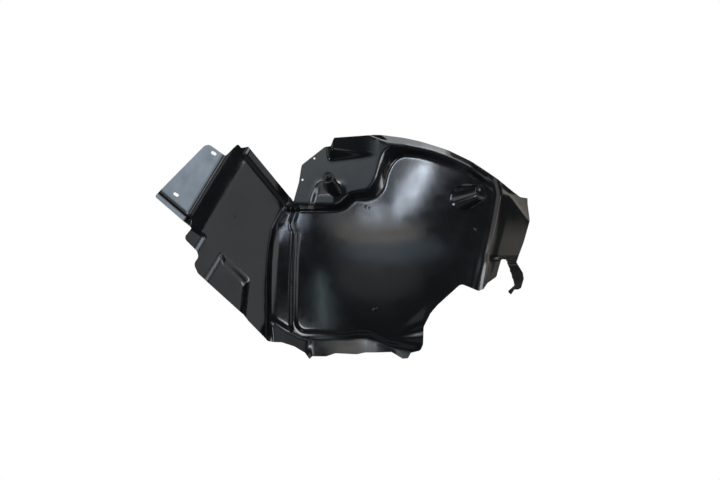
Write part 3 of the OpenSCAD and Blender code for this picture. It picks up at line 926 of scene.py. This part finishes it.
def studio():
    """White to the camera, and a faint blue glow to everything else."""
    world = bpy.data.worlds.new("studio")
    bpy.context.scene.world = world
    world.use_nodes = True
    tree = world.node_tree
    tree.nodes.clear()
    n, link = tree.nodes, tree.links
    out = n.new("ShaderNodeOutputWorld")
    ray = n.new("ShaderNodeLightPath")
    mixer = n.new("ShaderNodeMixShader")
    link.new(ray.outputs["Is Camera Ray"], mixer.inputs["Fac"])
    link.new(background(tree, WORLD_GLOW, WORLD_STRENGTH), mixer.inputs[1])
    link.new(background(tree, WHITE, 1.0), mixer.inputs[2])
    link.new(mixer.outputs[0], out.inputs[0])


def softbox(name, seen_from, turn, rise, wide, high, level, colour, roll=0.0, far=7.0):
    """Soft box placed by the turn and rise at which one part of the liner mirrors it, in degrees.

    Its width and height are degrees too, its level is a radiance, and far is in metres.
    """
    data = bpy.data.lights.new(name, "AREA")
    data.shape = "ELLIPSE"
    data.size = 2 * far * math.tan(math.radians(wide / 2))
    data.size_y = 2 * far * math.tan(math.radians(high / 2))
    data.energy = level * math.pi * data.size * data.size_y * math.pi / 4
    data.color = colour
    way = Vector(direction(turn, rise))
    spin = Quaternion((0, 0, 1), math.radians(roll))
    obj = put_in_scene(name, data)
    obj.location = Vector(seen_from) + way * far
    obj.rotation_euler = (way.to_track_quat("Z", "Y") @ spin).to_euler()
    obj.visible_camera = False


def lamps():
    softbox("window", MIDDLE, 9.2, 10.6, 4.8, 17, 24.0, COOL, -42)
    softbox("window_glow", MIDDLE, 5.0, 8.5, 12, 24, 1.1, COOL, -46)
    softbox("window_low", MIDDLE, -5.0, 3.5, 9, 5, 9.0, COOL)
    softbox("window_foot", MIDDLE, 3.0, 3.6, 4, 4, 9.0, COOL)
    softbox("wall", MIDDLE, -3.0, -2.2, 31, 7, 1.9, WARM)
    softbox("wall_low", MIDDLE, 1.5, -7.8, 36, 8, 1.15, BLUE)
    softbox("wall_floor", MIDDLE, -3.0, -16.0, 28, 16, 0.4, PLAIN)
    softbox("wall_high", MIDDLE, -4.0, 17.5, 58, 8, 1.3, PLAIN)
    softbox("shelf", LOW_EDGE, -14.0, 4.5, 15, 6, 1.5, PLAIN)
    softbox("left_room", LEFT, -62.0, -8.0, 36, 30, 1.4, PLAIN)
    softbox("left_band", LEFT, -37.5, 5.0, 25, 15, 7.8, BAND_BLUE, far=14.0)
    softbox("left_sky", LEFT, -40.5, 21.0, 27, 17, 4.4, COOL, far=14.0)
    softbox("left_cloud", LEFT, -44.5, 23.0, 8, 6, 5.0, BLUE, -30)
    softbox("left_side", LEFT, -92.0, 17.0, 36, 9, 8.0, COOL)
    softbox("left_floor", LEFT, -36.0, -36.5, 15, 12, 12.0, PLAIN, far=14.0)
    softbox("right_room", LEFT, 45.0, -22.0, 24, 24, 1.0, PLAIN)
    softbox("right_strip", RIGHT, 55.0, 1.5, 36, 30, 1.05, PLAIN)
    softbox("right_edge", PLATE_MIDDLE, 61.0, -20.0, 30, 9, 8.5, PLAIN, far=2.2)
    softbox("right_side", RIGHT, 84.0, -9.0, 22, 16, 1.6, WARM)
    softbox("right_low", RIGHT, 101.0, -13.0, 13, 9, 0.7, WARM)
    softbox("right_high", RIGHT, 109.0, 6.0, 18, 10, 1.8, WARM)
    softbox("right_leg", RIGHT, 104.5, 20.0, 9, 6, 1.2, PLAIN)
    softbox("ceiling_far", PLATE_RIGHT, 42.0, 34.0, 32, 26, 4.6, PLAIN, far=1.4)
    softbox("back_wall", MIDDLE, 195.0, 18.0, 70, 50, 0.9, PLAIN)
    softbox("back_window", MIDDLE, 214.0, 14.0, 9, 24, 7.0, COOL, 12)
    softbox("back_side", MIDDLE, 140.0, -6.0, 16, 40, 1.6, PLAIN)
    softbox("ceiling", PLATE_TOP, 31.0, 47.0, 28, 28, 5.2, PLAIN, far=1.4)
    softbox("ceiling_left", MIDDLE, -32.0, 45.0, 12, 9, 1.4, PLAIN)
    softbox("ceiling_low", MIDDLE, -3.0, 42.5, 52, 16, 0.6, PLAIN)
    softbox("streak", MIDDLE, -23.0, -24.0, 2.4, 20, 3.2, STREAK_BLUE)
    softbox("floor", MIDDLE, -20.0, -66.0, 60, 24, 0.2, FLOOR_GREY)


def camera():
    """Straight from the front, with the frame's origin where the photograph has it."""
    data = bpy.data.cameras.new("camera")
    data.lens = LENS
    data.sensor_width = SENSOR
    width = PICTURE[0] * PIXEL * MM
    right = (PICTURE[0] / 2 - ORIGIN_AT[0]) * PIXEL * MM
    up = (ORIGIN_AT[1] - PICTURE[1] / 2) * PIXEL * MM
    obj = put_in_scene("camera", data)
    obj.location = Vector((right, SIGHT_DEPTH, up)) - Vector((0, width * LENS / SENSOR, 0))
    obj.rotation_euler = (math.pi / 2, 0, 0)
    bpy.context.scene.camera = obj


camera()
studio()
lamps()
finish_mat = plastic()
pieces = [shell()]
for k, size in enumerate(bosses()):
    pieces.append(boss("boss_%d" % (k + 1), *size))
for piece in pieces:
    piece.data.materials.append(finish_mat)
    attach(piece, "root")
    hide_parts("liner")

bpy.context.scene.view_settings.view_transform = "Standard"
